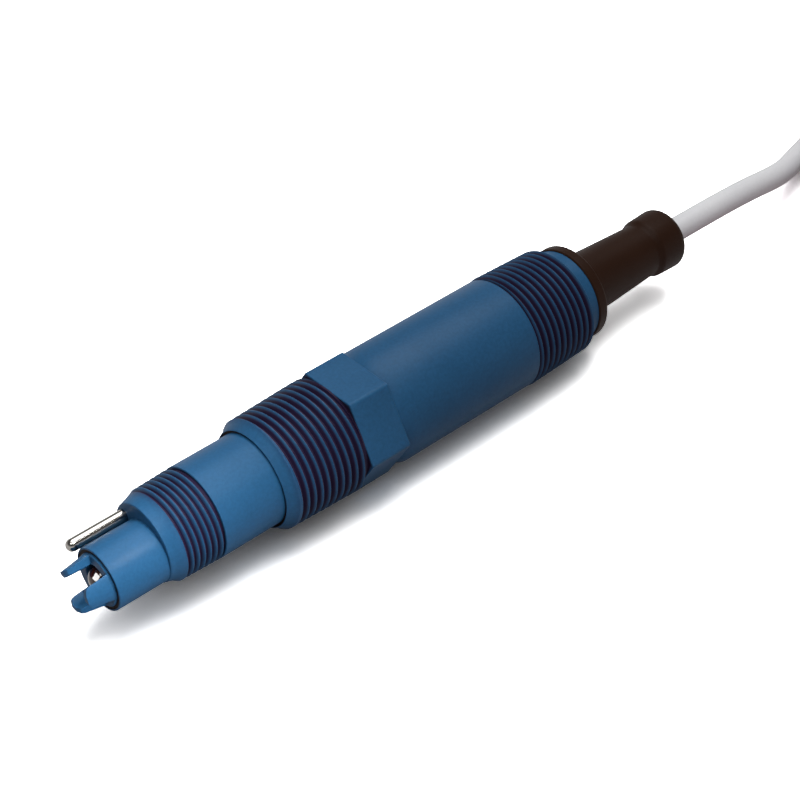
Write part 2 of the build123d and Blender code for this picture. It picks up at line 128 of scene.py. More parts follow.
class NodeDesk:
    """Small helper that places and links shader nodes in one tree.

    Attributes:
        MIX_INPUTS: Inputs of a Mix node for its share and its two colours.
        MIX_RESULT: Output of a Mix node for the mixed colour.
    """

    MIX_INPUTS = (0, 6, 7)
    MIX_RESULT = 2

    def __init__(self, tree: bpy.types.NodeTree) -> None:
        """Keep the tree that nodes go into."""
        self.tree = tree

    def add(self, kind: str, **settings: object) -> bpy.types.Node:
        """Add a node and set its properties.

        Args:
            kind: Blender's type name of the node.
            settings: Properties of the node by name.

        Returns:
            The new node.
        """
        node = self.tree.nodes.new(kind)
        for name, value in settings.items():
            setattr(node, name, value)
        return node

    def plug(self, target: bpy.types.NodeSocket, value: object) -> None:
        """Link or set one input.

        Args:
            target: The input.
            value: A socket to link from, or a plain value.
        """
        if isinstance(value, bpy.types.NodeSocket):
            self.tree.links.new(value, target)
        else:
            target.default_value = value

    def feed(self, node: bpy.types.Node, **inputs: object) -> bpy.types.Node:
        """Set or link inputs, whose names have underscores for spaces.

        Args:
            node: Node whose inputs are set.
            inputs: A socket to link from, or a plain value.

        Returns:
            The same node.
        """
        for name, value in inputs.items():
            self.plug(node.inputs[name.replace("_", " ")], value)
        return node

    def math(self, operation: str, *values: object) -> bpy.types.NodeSocket:
        """Result of a Math node.

        Args:
            operation: Name of the operation.
            values: A socket or a number for each input in order.

        Returns:
            The node's output socket.
        """
        node = self.add("ShaderNodeMath", operation=operation)
        for target, value in zip(node.inputs, values):
            self.plug(target, value)
        return node.outputs[0]

    def span(
        self, value: bpy.types.NodeSocket, low: float, high: float, given: Point2 = (0.0, 1.0)
    ) -> bpy.types.NodeSocket:
        """Bring a value to another span.

        Args:
            value: Socket of the value.
            low: Result at the given span's start.
            high: Result at the given span's end.
            given: Span that the value is in.

        Returns:
            The output socket.
        """
        node = self.add("ShaderNodeMapRange", clamp=True)
        self.feed(node, Value=value)
        node.inputs["From Min"].default_value, node.inputs["From Max"].default_value = given
        node.inputs["To Min"].default_value = low
        node.inputs["To Max"].default_value = high
        return node.outputs["Result"]

    def mix(self, share: object, first: object, second: object, blend: str = "MIX") -> bpy.types.NodeSocket:
        """Mix two colours.

        Args:
            share: Share of the second colour, as a socket or number.
            first: First colour, as a socket or value.
            second: Second colour, as a socket or value.
            blend: Blend type.

        Returns:
            The mixed colour's socket.
        """
        node = self.add("ShaderNodeMix", data_type="RGBA", blend_type=blend)
        for index, value in zip(self.MIX_INPUTS, (share, first, second)):
            self.plug(node.inputs[index], value)
        return node.outputs[self.MIX_RESULT]


class EffectShelf:
    """Shader node groups that several finishes share, each built once."""

    @staticmethod
    def _start(
        name: str, inputs: dict[str, float], outputs: Iterable[str]
    ) -> tuple[NodeDesk, bpy.types.Node, bpy.types.Node]:
        """Make an empty group with an Object coordinate input.

        Args:
            name: Name of the group.
            inputs: Number inputs with their defaults.
            outputs: Names of the number outputs.

        Returns:
            A desk on the new group's tree, and the group's input and output nodes.
        """
        tree = bpy.data.node_groups.new(name, "ShaderNodeTree")
        tree.interface.new_socket("Place", in_out="INPUT", socket_type="NodeSocketVector")
        for label, value in inputs.items():
            socket = tree.interface.new_socket(label, in_out="INPUT", socket_type="NodeSocketFloat")
            socket.default_value = value
        for label in outputs:
            tree.interface.new_socket(label, in_out="OUTPUT", socket_type="NodeSocketFloat")
        desk = NodeDesk(tree)
        return desk, desk.add("NodeGroupInput"), desk.add("NodeGroupOutput")

    @staticmethod
    def _noise(desk: NodeDesk, given: bpy.types.Node, scale: str, **settings: float) -> bpy.types.NodeSocket:
        """Noise at the group's place.

        Args:
            desk: Desk on the group's tree.
            given: The group's input node.
            scale: Name of the input that gives the noise's scale.
            settings: The noise's other inputs.

        Returns:
            The noise's socket.
        """
        noise = desk.add("ShaderNodeTexNoise")
        desk.feed(noise, Vector=given.outputs["Place"], Scale=given.outputs[scale], **settings)
        return noise.outputs["Fac"]

    @cached_property
    def mottle(self) -> bpy.types.NodeTree:
        """Slow cloudy drift and a fine speckle, as moulded plastic shows them.

        Returns:
            The group's tree.
        """
        scales = {"Cloud Scale": 60.0, "Speck Scale": 1100.0}
        desk, given, result = self._start("mottle", scales, ("Cloud", "Speck"))
        cloud = self._noise(desk, given, "Cloud Scale", Detail=3.0, Roughness=0.55)
        speck = self._noise(desk, given, "Speck Scale", Detail=2.0, Roughness=0.6)
        desk.feed(result, Cloud=cloud, Speck=speck)
        return desk.tree

    @cached_property
    def grain(self) -> bpy.types.NodeTree:
        """Height of a fine spark-eroded or matt grain.

        Returns:
            The group's tree.
        """
        desk, given, result = self._start("grain", {"Grain Scale": 2600.0, "Pit Share": 0.35}, ("Height",))
        bumps = self._noise(desk, given, "Grain Scale", Detail=3.0, Roughness=0.7)
        pits = desk.add("ShaderNodeTexVoronoi", feature="F1")
        desk.feed(pits, Vector=given.outputs["Place"], Scale=given.outputs["Grain Scale"])
        weighed = desk.math("MULTIPLY", pits.outputs["Distance"], given.outputs["Pit Share"])
        desk.feed(result, Height=desk.math("ADD", bumps, weighed))
        return desk.tree

    @cached_property
    def handling(self) -> bpy.types.NodeTree:
        """Uneven shine left by handling: broad smears with faint streaks.

        Returns:
            The group's tree.
        """
        desk, given, result = self._start("handling", {"Smear Scale": 40.0}, ("Smear",))
        desk.feed(result, Smear=self._noise(desk, given, "Smear Scale", Detail=4.0, Distortion=1.2))
        return desk.tree


@dataclass(frozen=True)
class Finish:
    """A finish of one material slot, with its colours, shine and surface.

    Attributes:
        slot: Slot of the record.
        colour: Main colour.
        shade: Colour that the cloudy drift goes to.
        cloud_scale: Scale of the drift, per metre.
        speck: Strength of the fine speckle.
        roughness: Lowest and highest roughness.
        grain_scale: Scale of the surface grain, per metre.
        grain_depth: Depth of the grain in metres.
        metallic: Metallic share.
        specular: Specular level.
        coat: Weight of a clear coat.
        transmission: Share of light let through.
        index: Index of refraction.
        sheen: Weight of a soft sheen.
    """

    slot: Slot
    colour: Colour
    shade: Colour
    cloud_scale: float = 60.0
    speck: float = 0.06
    roughness: tuple[float, float] = (0.42, 0.55)
    grain_scale: float = 2600.0
    grain_depth: float = 0.00001
    metallic: float = 0.0
    specular: float = 0.5
    coat: float = 0.0
    transmission: float = 0.0
    index: float = 1.5
    sheen: float = 0.0

    def make(self, shelf: EffectShelf) -> bpy.types.Material:
        """Build the material of this finish.

        Args:
            shelf: Shared node groups.

        Returns:
            The new material.
        """
        material = bpy.data.materials.new(f"finish_{self.slot.value}")
        material.use_nodes = True
        tree = material.node_tree
        desk = NodeDesk(tree)
        shader = tree.nodes["Principled BSDF"]
        place = desk.add("ShaderNodeTexCoord").outputs["Object"]
        mottle = desk.add("ShaderNodeGroup", node_tree=shelf.mottle)
        desk.feed(mottle, Place=place, Cloud_Scale=self.cloud_scale)
        drift = desk.mix(mottle.outputs["Cloud"], self.colour, self.shade)
        speck = desk.span(mottle.outputs["Speck"], 1.0 - self.speck, 1.0 + self.speck)
        colour = self.tint(desk, desk.mix(1.0, drift, self.grey(desk, speck), "MULTIPLY"))
        handling = desk.add("ShaderNodeGroup", node_tree=shelf.handling)
        desk.feed(handling, Place=place)
        grain = desk.add("ShaderNodeGroup", node_tree=shelf.grain)
        desk.feed(grain, Place=place, Grain_Scale=self.grain_scale)
        bump = desk.add("ShaderNodeBump")
        desk.feed(bump, Height=grain.outputs["Height"], Distance=self.grain_depth, Strength=1.0)
        desk.feed(shader, Base_Color=colour, Normal=bump.outputs["Normal"])
        desk.feed(shader, Roughness=desk.span(handling.outputs["Smear"], *self.roughness))
        desk.feed(
            shader,
            Metallic=self.metallic,
            Specular_IOR_Level=self.specular,
            Coat_Weight=self.coat,
            Transmission_Weight=self.transmission,
            IOR=self.index,
            Sheen_Weight=self.sheen,
        )
        return material

    @staticmethod
    def grey(desk: NodeDesk, value: bpy.types.NodeSocket) -> bpy.types.NodeSocket:
        """Grey colour of a value.

        Args:
            desk: Desk on the tree that the nodes go into.
            value: Socket of the value.

        Returns:
            The colour's socket.
        """
        node = desk.add("ShaderNodeCombineColor")
        desk.feed(node, Red=value, Green=value, Blue=value)
        return node.outputs["Color"]

    def tint(self, desk: NodeDesk, colour: bpy.types.NodeSocket) -> bpy.types.NodeSocket:
        """Last change to the colour: plain finishes leave it as it is, and the grooved finish paints shade
        into its grooves here.
        """
        return colour


@dataclass(frozen=True)
class ShadedGrooveFinish(Finish):
    """Moulded plastic whose thread grooves get a painted shade, darker towards their roots.

    Attributes:
        groove_shade_colour: Colour of the painted shade at the bottom of a groove.
        groove_shade_share: Share of that painted shade at the bottom.
        groove_shade_depths: Shares of the depth at which the painted shade starts and is full.
    """

    groove_shade_colour: Colour = srgb(36, 22, 47)
    groove_shade_share: float = 0.97
    groove_shade_depths: Point2 = (0.0, 0.42)

    def tint(self, desk: NodeDesk, colour: bpy.types.NodeSocket) -> bpy.types.NodeSocket:
        """Paint shade into the grooves by the piece's own groove attribute.

        Args:
            desk: Desk on the material's tree.
            colour: Colour outside the grooves.

        Returns:
            Colour with painted shade in the grooves.
        """
        # Painted shade: the groove attribute darkens the thread's grooves, and faintly its crests, towards a
        # dark purple.
        depth = desk.add("ShaderNodeAttribute", attribute_name=Attribute.GROOVE.value).outputs["Fac"]
        share = desk.span(depth, 0.0, self.groove_shade_share, self.groove_shade_depths)
        return desk.mix(share, colour, self.groove_shade_colour)


INSULATION_ROUGHNESS: Point2 = (0.3, 0.4)
FINISHES: tuple[Finish, ...] = (
    # Housing plastic, with painted shade in its thread grooves.
    ShadedGrooveFinish(
        Slot.HOUSING, srgb(36, 81, 118), srgb(29, 73, 108), speck=0.2, roughness=(0.36, 0.5),
        cloud_scale=90.0, specular=0.14,
    ),
    Finish(Slot.SEAL, srgb(25, 8, 6), srgb(17, 5, 5), roughness=(0.55, 0.7), specular=0.1),
    # Painted shade: the bulb's dark red-brown colour and low transmission stand in for the shadowed hollow
    # of the crown.
    Finish(
        Slot.GLASS, srgb(55, 22, 12), srgb(38, 12, 6), roughness=(0.05, 0.1), transmission=0.15, speck=0.0,
        index=1.47, grain_depth=0.0, coat=0.6, specular=0.5,
    ),
    Finish(
        Slot.ROD, srgb(180, 176, 171), srgb(162, 158, 153), roughness=(0.06, 0.12), metallic=1.0, speck=0.02,
        grain_scale=4000.0, grain_depth=0.0000005,
    ),
    Finish(Slot.JUNCTION, srgb(50, 20, 10), srgb(36, 13, 6), roughness=(0.6, 0.8)),
    Finish(Slot.SILVER, srgb(196, 190, 182), srgb(150, 142, 136), metallic=1.0, roughness=(0.25, 0.4)),
    Finish(Slot.INNER, srgb(196, 196, 190), srgb(182, 182, 176)),
    Finish(Slot.WIRE, srgb(150, 40, 34), srgb(128, 32, 28), roughness=INSULATION_ROUGHNESS),
    Finish(Slot.BOARD, srgb(26, 92, 54), srgb(20, 76, 44), roughness=(0.3, 0.42), coat=0.3),
    Finish(Slot.CHIP, srgb(30, 30, 32), srgb(24, 24, 26), roughness=(0.45, 0.6)),
    Finish(
        Slot.BOOT, srgb(41, 22, 11), srgb(34, 17, 8), roughness=(0.42, 0.56), specular=0.09,
        grain_scale=1800.0, grain_depth=0.000016,
    ),
    Finish(
        Slot.CABLE, srgb(208, 208, 210), srgb(200, 200, 203), roughness=(0.42, 0.52), grain_scale=1500.0,
        grain_depth=0.000012,
    ),
    Finish(Slot.TIE, srgb(34, 34, 37), srgb(24, 24, 27), roughness=(0.7, 0.9), sheen=0.3),
    Finish(Slot.SLEEVE, srgb(26, 26, 27), srgb(20, 20, 21), roughness=(0.4, 0.55)),
    Finish(Slot.LEAD_CLEAR, srgb(206, 200, 186), srgb(196, 188, 170), roughness=INSULATION_ROUGHNESS),
    Finish(Slot.LEAD_BLACK, srgb(26, 26, 28), srgb(20, 20, 22), roughness=INSULATION_ROUGHNESS),
    Finish(Slot.LEAD_RED, srgb(176, 34, 28), srgb(156, 28, 24), roughness=INSULATION_ROUGHNESS),
    Finish(Slot.LEAD_WHITE, srgb(226, 226, 222), srgb(214, 214, 208), roughness=INSULATION_ROUGHNESS),
    Finish(Slot.LEAD_GREEN, srgb(44, 128, 62), srgb(36, 110, 52), roughness=INSULATION_ROUGHNESS),
    Finish(Slot.FERRULE, srgb(204, 202, 198), srgb(176, 174, 170), metallic=1.0, roughness=(0.22, 0.36)),
)


class Paintbox:
    """The finished materials by slot."""

    def __init__(self) -> None:
        """Build every finish once."""
        shelf = EffectShelf()
        self.materials = {finish.slot: finish.make(shelf) for finish in FINISHES}

    def paint(self, piece: bpy.types.Object, slot: Slot) -> None:
        """Give a piece the material of a slot.

        Args:
            piece: Object to paint.
            slot: Slot whose finish it takes.
        """
        piece.data.materials.clear()
        piece.data.materials.append(self.materials[slot])

    def paint_nodes(self) -> None:
        """Give every CAD node the finish of its slot in the record."""
        for entry in frame["record"]["subparts"]:
            self.paint(frame["nodes"][entry["node"]], Slot(entry["material_slot"]))


def start_piece(name: str, add: Callable[[], object]) -> bpy.types.Object:
    """Add a primitive with nothing else selected and name it.

    Args:
        name: Name of the piece.
        add: Call that adds the primitive.

    Returns:
        The new object, active and selected.
    """
    bpy.ops.object.select_all(action="DESELECT")
    add()
    piece = bpy.context.active_object
    piece.name = name
    piece.data.name = name
    return piece


def close_skin(piece: bpy.types.Object) -> None:
    """Weld a piece's seams, turn its faces outwards and smooth it up to its edges.

    Args:
        piece: Mesh object, active and selected.
    """
    bpy.ops.object.mode_set(mode="EDIT")
    bpy.ops.mesh.select_all(action="SELECT")
    bpy.ops.mesh.remove_doubles(threshold=WELD)
    bpy.ops.mesh.dissolve_degenerate(threshold=WELD)
    bpy.ops.mesh.normals_make_consistent(inside=False)
    bpy.ops.object.mode_set(mode="OBJECT")
    bpy.ops.object.shade_smooth_by_angle(angle=SMOOTH_ANGLE)
    LOG.info("%s: %d faces", piece.name, len(piece.data.polygons))


def settle(piece: bpy.types.Object, slot: Slot, paintbox: Paintbox, *nodes: str) -> bpy.types.Object:
    """Paint a finished piece and set it in the frame.

    Args:
        piece: Finished object.
        slot: Slot of its finish.
        paintbox: Materials by slot.
        nodes: CAD nodes that it stands for.

    Returns:
        The same object.
    """
    paintbox.paint(piece, slot)
    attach(piece, BODY)
    if nodes:
        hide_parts(*nodes)
    return piece


@dataclass(frozen=True)
class AxisFrame:
    """The electrode's axis in the shared frame.

    Attributes:
        origin: Place of the hexagon's front face along X, in millimetres.
        height: Height of the axis above the floor, in millimetres.
    """

    origin: float
    height: float

    @classmethod
    def from_frame(cls, mouth_to_hex: float) -> "AxisFrame":
        """Read the axis from the rear housing's box.

        Args:
            mouth_to_hex: Length from the housing's mouth to the hexagon, in millimetres.

        Returns:
            The axis.
        """
        low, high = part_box("rear_housing")
        return cls(low.x / MM + mouth_to_hex, (low.z + high.z) / 2 / MM)

    def place(self, station: Number, across: Number, up: Number) -> np.ndarray:
        """Points in metres from stations and distances across the axis.

        Args:
            station: Station along the axis, in millimetres.
            across: Distance along Y, in millimetres.
            up: Distance along Z from the axis, in millimetres.

        Returns:
            Points as rows.
        """
        parts = np.broadcast_arrays(self.origin + np.asarray(station), across, self.height + np.asarray(up))
        return np.stack(parts, axis=-1) * MM


@dataclass
class Ring:
    """One ring of a rolled skin, whose values may change with the angle.

    Attributes:
        station: Station along the axis.
        radius: Radius about the ring's centre.
        centre: The centre's place across the axis.
        groove: Painted shade of a thread groove, from 0 to 1, which follows the groove's depth.
    """

    station: Number
    radius: Number
    centre: Point2 = (0.0, 0.0)
    groove: Number = 0.0


def roll_skin(name: str, axis: AxisFrame, angles: np.ndarray, rings: Sequence[Ring]) -> bpy.types.Object:
    """Roll a sheet into a skin with one row for each ring.

    Args:
        name: Name of the piece.
        axis: The axis that the rings stand on.
        angles: Angle of each column, from 0 to a full turn.
        rings: Rings in order.

    Returns:
        The welded piece, with its groove attribute of painted shade.
    """
    columns, rows = len(angles), len(rings)
    counts = {"x_subdivisions": columns - 1, "y_subdivisions": rows - 1}
    piece = start_piece(name, lambda: bpy.ops.mesh.primitive_grid_add(size=2, **counts))
    mesh = piece.data
    flat = np.empty(len(mesh.vertices) * 3)
    mesh.vertices.foreach_get("co", flat)
    flat = flat.reshape(-1, 3)
    column = np.rint((flat[:, 0] + 1) / 2 * (columns - 1)).astype(int)
    row = np.rint((flat[:, 1] + 1) / 2 * (rows - 1)).astype(int)
    shape = (rows, columns)
    points = np.empty((*shape, 3))
    grooves = np.empty(shape)
    for index, ring in enumerate(rings):
        across = ring.centre[0] + np.asarray(ring.radius) * np.cos(angles)
        up = ring.centre[1] + np.asarray(ring.radius) * np.sin(angles)
        points[index] = axis.place(ring.station, across, up)
        grooves[index] = ring.groove
    mesh.vertices.foreach_set("co", points[row, column].ravel())
    layer = mesh.attributes.new(Attribute.GROOVE.value, "FLOAT", "POINT")
    layer.data.foreach_set("value", grooves[row, column])
    mesh.update()
    close_skin(piece)
    return piece


def turn_profile(
    name: str, axis: AxisFrame, centre: Point2, profile: Profile, steps: int
) -> bpy.types.Object:
    """Extrude a profile point by point and spin it about a line along X.

    Args:
        name: Name of the piece.
        axis: The electrode's axis.
        centre: Place of the spin's line across the axis, in millimetres.
        profile: Points of station and radius, in millimetres, in order.
        steps: Steps of the full turn.

    Returns:
        The welded piece.
    """
    points = [Vector(axis.place(station, centre[0] + radius, centre[1])) for station, radius in profile]
    piece = start_piece(name, lambda: bpy.ops.mesh.primitive_plane_add(size=MM))
    bpy.ops.object.mode_set(mode="EDIT")
    bpy.ops.mesh.select_all(action="SELECT")
    bpy.ops.mesh.merge(type="CENTER")
    bpy.ops.transform.translate(value=points[0])
    for before, here in zip(points, points[1:]):
        bpy.ops.mesh.extrude_region_move(TRANSFORM_OT_translate={"value": here - before})
    bpy.ops.mesh.select_all(action="SELECT")
    line = Vector(axis.place(0.0, *centre))
    bpy.ops.mesh.spin(steps=steps, angle=FULL_TURN, center=line, axis=(1, 0, 0))
    bpy.ops.object.mode_set(mode="OBJECT")
    close_skin(piece)
    return piece


def arc(centre: Point2, radius: float, start: float, end: float, steps: int) -> Profile:
    """Points of an arc in a profile.

    Args:
        centre: Station and radius of the arc's centre.
        radius: Radius of the arc.
        start: First angle in degrees, from the station's direction.
        end: Last angle in degrees.
        steps: Number of steps.

    Returns:
        The arc's points, both ends included.
    """
    turns = np.radians(np.linspace(start, end, steps + 1))
    return [(centre[0] + radius * math.cos(turn), centre[1] + radius * math.sin(turn)) for turn in turns]


def polar(radius: float, angle: float) -> Point2:
    """Place across the axis at a radius and an angle in degrees from +Y towards +Z."""
    return radius * math.cos(math.radians(angle)), radius * math.sin(math.radians(angle))


# Stations and lines that several pieces share, in millimetres and degrees.
NOSE_ANGLE = 32.0
NOSE_OFFSET = -2.2
ROD_OFFSET = 8.65
NOSE_CENTRE = polar(NOSE_OFFSET, NOSE_ANGLE)
ROD_CENTRE = polar(ROD_OFFSET, NOSE_ANGLE)
CROWN_SEAT = -74.6
CHAMBER_WALL = -30.0
NECK_REAR = -8.4
REAR_FACE = 89.8
THREAD_TAPER = 1 / 32
INCH = 25.4


@dataclass(frozen=True)
class TaperThread:
    """A right-hand taper thread, cut between two stations.

    Attributes:
        start: Station of its front end.
        length: Length along the axis.
        start_radius: Crest radius at the front end.
        slope: Growth of the crest radius along the axis.
        pitch: Distance from one crest to the next.
        depth_ratio: Depth of the grooves as a share of the pitch.
        start_angle: Angle in degrees that the first groove is counted from.
        fade_in: Turns over which the first groove deepens, or 0 for none.
        reliefs: Whether there is a plain ring groove at the front end and at the rear one.
        crest_share: Share of the pitch that the flat crest takes.
        root_share: Share of the pitch that the flat root takes.
        edge_share: Share of the pitch that the rounding of a crest's edge takes.
        edge_drop: Share of the depth that the rounding drops.
        root_edge: Share of the depth at which a root's rounding starts.
        relief_length: Length of the plain ring groove.
        relief_flat: Share of that length that the groove's flat bottom takes.
        relief_depth: Share of the depth of the plain ring groove.
        lead_break: Shares of the lead cone's length and rise at which it is creased.
        groove_shade_strength: How strongly the grooves take their painted shade, which follows their depth.
        crest_shade: Share of the depth whose painted shade the crests take as well.
    """

    start: float
    length: float
    start_radius: float
    slope: float
    pitch: float
    depth_ratio: float = 0.64
    start_angle: float = 0.0
    fade_in: float = 0.35
    reliefs: tuple[bool, bool] = (False, True)
    crest_share: float = 0.15
    root_share: float = 0.16
    edge_share: float = 0.05
    edge_drop: float = 0.07
    root_edge: float = 0.96
    relief_length: float = 0.5
    relief_flat: float = 0.5
    relief_depth: float = 0.8
    lead_break: Point2 = (0.6, 0.4)
    groove_shade_strength: float = 1.0
    crest_shade: float = 0.08

    @property
    def end(self) -> float:
        """Station of the rear end."""
        return self.start + self.length

    @property
    def height(self) -> float:
        """Depth of the grooves."""
        return self.pitch * self.depth_ratio

    def crest(self, station: Number) -> Number:
        """Crest radius at a station."""
        return self.start_radius + (station - self.start) * self.slope

    def lead(self, face: float, face_radius: float) -> Ring:
        """The crease in the lead cone between a face and the front end.

        Args:
            face: Station of the face.
            face_radius: Radius of the cone at the face.

        Returns:
            The crease's ring.
        """
        along, rise = self.lead_break
        return Ring(between(face, self.start, along), between(face_radius, self.start_radius, rise))

    def marks(self) -> list[Point2]:
        """Corners of one groove as phase and share of depth, from crest to crest.

        Returns:
            The corners in order.
        """
        edge = self.crest_share / 2
        bottom = 0.5 - self.root_share / 2
        half = [
            (0.0, 0.0),
            (edge - self.edge_share / 2, 0.0),
            (edge + self.edge_share / 2, self.edge_drop),
            ((edge + bottom) / 2, 0.5),
            (bottom - self.edge_share / 2, self.root_edge),
            (bottom + self.edge_share / 2, 1.0),
        ]
        return half + [(1.0 - phase, depth) for phase, depth in reversed(half[1:])]

    def depth(self, station: np.ndarray, angles: np.ndarray) -> np.ndarray:
        """Share of the full depth at stations and angles.

        Args:
            station: Stations, one for each angle.
            angles: Angles in radians.

        Returns:
            Depth from 0 on a crest to 1 in a root.
        """
        turns = (station - self.start) / self.pitch - (angles - math.radians(self.start_angle)) / FULL_TURN
        phase = turns - np.floor(turns)
        marks = [*self.marks(), (1.0, 0.0)]
        cut = np.interp(phase, [mark[0] for mark in marks], [mark[1] for mark in marks])
        if self.fade_in:
            middle = (station - self.start) / self.pitch - (phase - 0.5)
            cut = cut * smoothstep(middle / self.fade_in)
        for there, distance in zip(self.reliefs, (station - self.start, self.end - station)):
            if there:
                run_out = smoothstep(distance / self.relief_length - self.relief_flat)
                cut = np.maximum(cut, self.relief_depth * (1.0 - run_out))
        return cut

    def rings(self, angles: np.ndarray) -> list[Ring]:
        """Rows of the skin along the helix, cut off at both ends.

        Args:
            angles: Angles in radians.

        Returns:
            Rings from the front end to the rear end.
        """
        turns = math.ceil(self.length / self.pitch)
        share = (angles - math.radians(self.start_angle)) / FULL_TURN
        lead = math.ceil(abs(self.start_angle) / 360) + 1
        rows = []
        for turn in range(-1 - lead, turns + 1 + lead):
            for phase, _ in self.marks():
                rows.append(self.start + self.pitch * (turn + phase + share))
        ends = [np.full_like(angles, self.start), np.full_like(angles, self.end)]
        inner = [np.clip(row, self.start, self.end) for row in rows]
        kept = [row for row in inner if row.max() > self.start and row.min() < self.end]
        result = []
        for row in [ends[0], *kept, ends[1]]:
            depth = self.depth(row, angles)
            # Painted shade: the groove attribute follows the depth, scaled by stain and never below
            # crest_shade, so the crests are shaded too.
            groove = self.groove_shade_strength * np.maximum(depth, self.crest_shade)
            result.append(Ring(row, self.crest(row) - self.height * depth, groove=groove))
        return result


@dataclass
class FrontHousing:
    """Eccentric nose, shoulder, lead cone, small thread and neck, in millimetres."""

    nose_front: float = -76.7
    shoulder: float = -61.4
    thread_start: float = -57.5
    thread_length: float = 12.2
    neck_rear: float = NECK_REAR
    wall: float = CHAMBER_WALL
    crown_seat: float = CROWN_SEAT
    nose_radius: float = 8.95
    nose_edge: float = 0.3
    nose_edge_break: float = 0.3
    lip_radius: float = 8.45
    chamber_radius: float = 6.4
    wiring_radius: float = 11.55
    shoulder_radius: float = 11.3
    neck_radius: float = 13.335
    thread_pitch: float = INCH / 14
    groove_angle: float = 150.0
    # Strength of the painted shade in the small thread's grooves.
    groove_shade_strength: float = 0.55
    edge: float = 0.15
    nose_centre: Point2 = NOSE_CENTRE
    steps: int = 144

    def thread(self) -> TaperThread:
        """The small thread.

        Returns:
            The thread between lead cone and neck.
        """
        return TaperThread(
            start=self.thread_start,
            length=self.thread_length,
            start_radius=self.neck_radius - self.thread_length * THREAD_TAPER,
            slope=THREAD_TAPER,
            pitch=self.thread_pitch,
            start_angle=self.groove_angle,
            groove_shade_strength=self.groove_shade_strength,
        )

    def build(self, axis: AxisFrame) -> bpy.types.Object:
        """Roll the housing's skin with its chamber and its wiring bore, but without the rod's hole.

        Args:
            axis: The electrode's axis.

        Returns:
            The finished mesh object.
        """
        angles = np.linspace(0.0, FULL_TURN, self.steps + 1)
        thread = self.thread()
        nose = self.nose_centre
        nose_break = self.nose_edge_break * self.nose_edge
        rings = [
            Ring(self.nose_front, self.lip_radius, nose),
            Ring(self.nose_front, self.nose_radius - self.nose_edge, nose),
            Ring(self.nose_front + nose_break, self.nose_radius - nose_break, nose),
            Ring(self.nose_front + self.nose_edge, self.nose_radius, nose),
            Ring(self.shoulder, self.nose_radius, nose),
            Ring(self.shoulder, self.shoulder_radius - self.edge),
            Ring(self.shoulder + self.edge, self.shoulder_radius + self.edge / 2),
            thread.lead(self.shoulder, self.shoulder_radius),
            *thread.rings(angles),
            Ring(thread.end, self.neck_radius - self.edge),
            Ring(thread.end + self.edge, self.neck_radius),
            Ring(self.neck_rear, self.neck_radius),
            Ring(self.neck_rear, self.wiring_radius),
            Ring(self.wall, self.wiring_radius),
            Ring(self.wall, self.chamber_radius, nose),
            Ring(self.crown_seat, self.chamber_radius, nose),
            Ring(self.crown_seat, self.lip_radius, nose),
            Ring(self.nose_front, self.lip_radius, nose),
        ]
        return roll_skin("front_housing_shape", axis, angles, rings)


